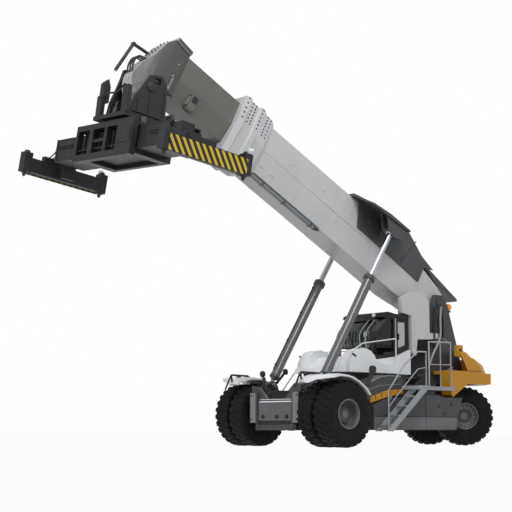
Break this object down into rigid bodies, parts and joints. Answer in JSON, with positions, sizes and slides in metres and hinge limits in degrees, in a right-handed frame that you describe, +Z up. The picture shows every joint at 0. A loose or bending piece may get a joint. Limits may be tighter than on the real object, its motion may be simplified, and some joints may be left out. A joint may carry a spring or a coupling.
{
  "type": "reach stacker",
  "caption": "Container reach stacker: telescopic boom on a rear tower, lift cylinders, rotating telescopic top spreader, central cab and dual front wheels.",
  "frame": {"origin": "centre of the bounding box on the floor, under the machine", "axes": "+X forward towards the spreader, +Y to the driver's left, +Z up"},
  "size_m": [13.4202, 6.1438, 9.8616],
  "materials": {
    "rear_axle": "satin",
    "engine_block": "satin",
    "main_frame": "satin",
    "side_tank_left": "satin",
    "side_tank_right": "satin",
    "tower": "satin",
    "access_left": "satin",
    "access_right": "satin",
    "fender_left": "satin",
    "fender_right": "satin",
    "tower_cover_left": "satin",
    "tower_cover_right": "satin",
    "cab_base": "satin",
    "counterweight": "gloss",
    "side_strip_left": "gloss",
    "side_strip_right": "gloss",
    "cab_frame": "satin",
    "seat": "satin",
    "console": "satin",
    "cab_glass": "gloss",
    "beacon_left": "gloss",
    "beacon_right": "gloss",
    "pivot_pin": "polished",
    "tyres_front_left": "matte",
    "rim_front_left": "satin",
    "tyres_front_right": "matte",
    "rim_front_right": "satin",
    "knuckle_left": "satin",
    "knuckle_right": "satin",
    "tyre_rear_left": "matte",
    "rim_rear_left": "satin",
    "tyre_rear_right": "matte",
    "rim_rear_right": "satin",
    "boom_outer": "satin",
    "boom_shoulder": "satin",
    "cab_door": "satin",
    "boom_inner": "satin",
    "boom_nose": "satin",
    "lift_barrel_left": "satin",
    "lift_barrel_right": "satin",
    "lift_rod_left": "polished",
    "lift_rod_right": "polished",
    "head_yoke": "satin",
    "rotator_frame": "satin",
    "spreader_trunk": "satin",
    "spreader_arm_left": "satin",
    "hazard_panel_left": "satin",
    "spreader_arm_right": "satin",
    "hazard_panel_right": "satin"
  },
  "bodies": {
    "chassis": {"rear_axle": "rear_axle", "engine_block": "engine_block", "main_frame": "main_frame", "side_tank_left": "side_tank_left", "side_tank_right": "side_tank_right", "tower": "tower", "access_left": "access_left", "access_right": "access_right", "fender_left": "fender_left", "fender_right": "fender_right", "tower_cover_left": "tower_cover_left", "tower_cover_right": "tower_cover_right", "cab_base": "cab_base", "counterweight": "counterweight", "side_strip_left": "side_strip_left", "side_strip_right": "side_strip_right", "cab_frame": "cab_frame", "seat": "seat", "console": "console", "cab_glass": "cab_glass", "beacon_left": "beacon_left", "beacon_right": "beacon_right", "pivot_pin": "pivot_pin"},
    "front_wheels_left": {"tyres_front_left": "tyres_front_left", "rim_front_left": "rim_front_left"},
    "front_wheels_right": {"tyres_front_right": "tyres_front_right", "rim_front_right": "rim_front_right"},
    "steer_left": {"knuckle_left": "knuckle_left"},
    "steer_right": {"knuckle_right": "knuckle_right"},
    "rear_wheel_left": {"tyre_rear_left": "tyre_rear_left", "rim_rear_left": "rim_rear_left"},
    "rear_wheel_right": {"tyre_rear_right": "tyre_rear_right", "rim_rear_right": "rim_rear_right"},
    "outer_boom": {"boom_outer": "boom_outer", "boom_shoulder": "boom_shoulder"},
    "cab_door": {"cab_door": "cab_door"},
    "inner_boom": {"boom_inner": "boom_inner", "boom_nose": "boom_nose"},
    "barrel_left": {"lift_barrel_left": "lift_barrel_left"},
    "barrel_right": {"lift_barrel_right": "lift_barrel_right"},
    "ram_left": {"lift_rod_left": "lift_rod_left"},
    "ram_right": {"lift_rod_right": "lift_rod_right"},
    "yoke": {"head_yoke": "head_yoke"},
    "rotator": {"rotator_frame": "rotator_frame"},
    "trunk": {"spreader_trunk": "spreader_trunk"},
    "arm_left": {"spreader_arm_left": "spreader_arm_left", "hazard_panel_left": "hazard_panel_left"},
    "arm_right": {"spreader_arm_right": "spreader_arm_right", "hazard_panel_right": "hazard_panel_right"}
  },
  "joints": [
    {"name": "front_wheels_left_spin", "type": "hinge", "parent": "chassis", "child": "front_wheels_left", "pos_m": [0.34949, 1.99061, 0.82], "axis": [0, 1, 0], "continuous": true},
    {"name": "front_wheels_right_spin", "type": "hinge", "parent": "chassis", "child": "front_wheels_right", "pos_m": [0.34949, -1.73739, 0.82], "axis": [0, 1, 0], "continuous": true},
    {"name": "steer_left", "type": "hinge", "parent": "chassis", "child": "steer_left", "pos_m": [-5.67051, 0.64661, 0.82], "axis": [0, 0, 1], "range_deg": [-9, 81]},
    {"name": "rear_wheel_left_spin", "type": "hinge", "parent": "steer_left", "child": "rear_wheel_left", "pos_m": [-5.42361, 0.98641, 0.82], "axis": [0.5878, 0.809, 0], "continuous": true},
    {"name": "steer_right", "type": "hinge", "parent": "chassis", "child": "steer_right", "pos_m": [-5.67051, -0.39339, 0.82], "axis": [0, 0, 1], "range_deg": [-9, 81]},
    {"name": "rear_wheel_right_spin", "type": "hinge", "parent": "steer_right", "child": "rear_wheel_right", "pos_m": [-5.91741, -0.73319, 0.82], "axis": [0.5878, 0.809, 0], "continuous": true},
    {"name": "boom_lift", "type": "hinge", "parent": "chassis", "child": "outer_boom", "pos_m": [-4.75051, 0.12661, 4], "axis": [0, -1, 0], "range_deg": [-22.5, 30]},
    {"name": "boom_telescope", "type": "slide", "parent": "outer_boom", "child": "inner_boom", "axis": [0.887, 0, 0.4617], "range_m": [-1.1, 4.5]},
    {"name": "lift_barrel_left_swing", "type": "hinge", "parent": "chassis", "child": "barrel_left", "pos_m": [0.23149, 1.07661, 1.563], "axis": [0, -1, 0], "range_deg": [-2.2, 2.8]},
    {"name": "lift_rod_left_slide", "type": "slide", "parent": "barrel_left", "child": "ram_left", "axis": [-0.5394, 0, 0.8421], "range_m": [-1.1331, 1.5075]},
    {"name": "lift_barrel_right_swing", "type": "hinge", "parent": "chassis", "child": "barrel_right", "pos_m": [0.23149, -0.82339, 1.563], "axis": [0, -1, 0], "range_deg": [-2.2, 2.8]},
    {"name": "lift_rod_right_slide", "type": "slide", "parent": "barrel_right", "child": "ram_right", "axis": [-0.5394, 0, 0.8421], "range_m": [-1.1331, 1.5075]},
    {"name": "head_tilt", "type": "hinge", "parent": "inner_boom", "child": "yoke", "pos_m": [5.30999, 0.12661, 8.4275], "axis": [0, 1, 0], "range_deg": [-18, 29.5]},
    {"name": "spreader_rotation", "type": "hinge", "parent": "yoke", "child": "rotator", "pos_m": [5.33239, 0.05681, 7.4252], "axis": [0.1216, -0.0698, -0.9901], "range_deg": [-105, 195]},
    {"name": "spreader_side_shift", "type": "slide", "parent": "rotator", "child": "trunk", "axis": [0.0085, 0.9976, -0.0692], "range_m": [-0.8, 0.8]},
    {"name": "cab_door_swing", "type": "hinge", "parent": "chassis", "child": "cab_door", "pos_m": [-3.33051, 0.84171, 2.45], "axis": [0, 0, 1], "range_deg": [0, 95]},
    {"name": "spreader_arm_left_slide", "type": "slide", "parent": "trunk", "child": "arm_left", "axis": [0.0085, 0.9976, -0.0692], "range_m": [0, 3.066]},
    {"name": "spreader_arm_right_slide", "type": "slide", "parent": "trunk", "child": "arm_right", "axis": [-0.0085, -0.9976, 0.0692], "range_m": [0, 3.066]}
  ],
  "couplings": [
    {"joint": "steer_right", "follows": "steer_left", "ratio": 1},
    {"joint": "spreader_arm_right_slide", "follows": "spreader_arm_left_slide", "ratio": 1},
    {"joint": "lift_barrel_left_swing", "follows": "boom_lift", "ratio": 0.08},
    {"joint": "lift_rod_left_slide", "follows": "boom_lift", "m_per_rad": 2.86},
    {"joint": "lift_barrel_right_swing", "follows": "boom_lift", "ratio": 0.08},
    {"joint": "lift_rod_right_slide", "follows": "boom_lift", "m_per_rad": 2.86}
  ]
}
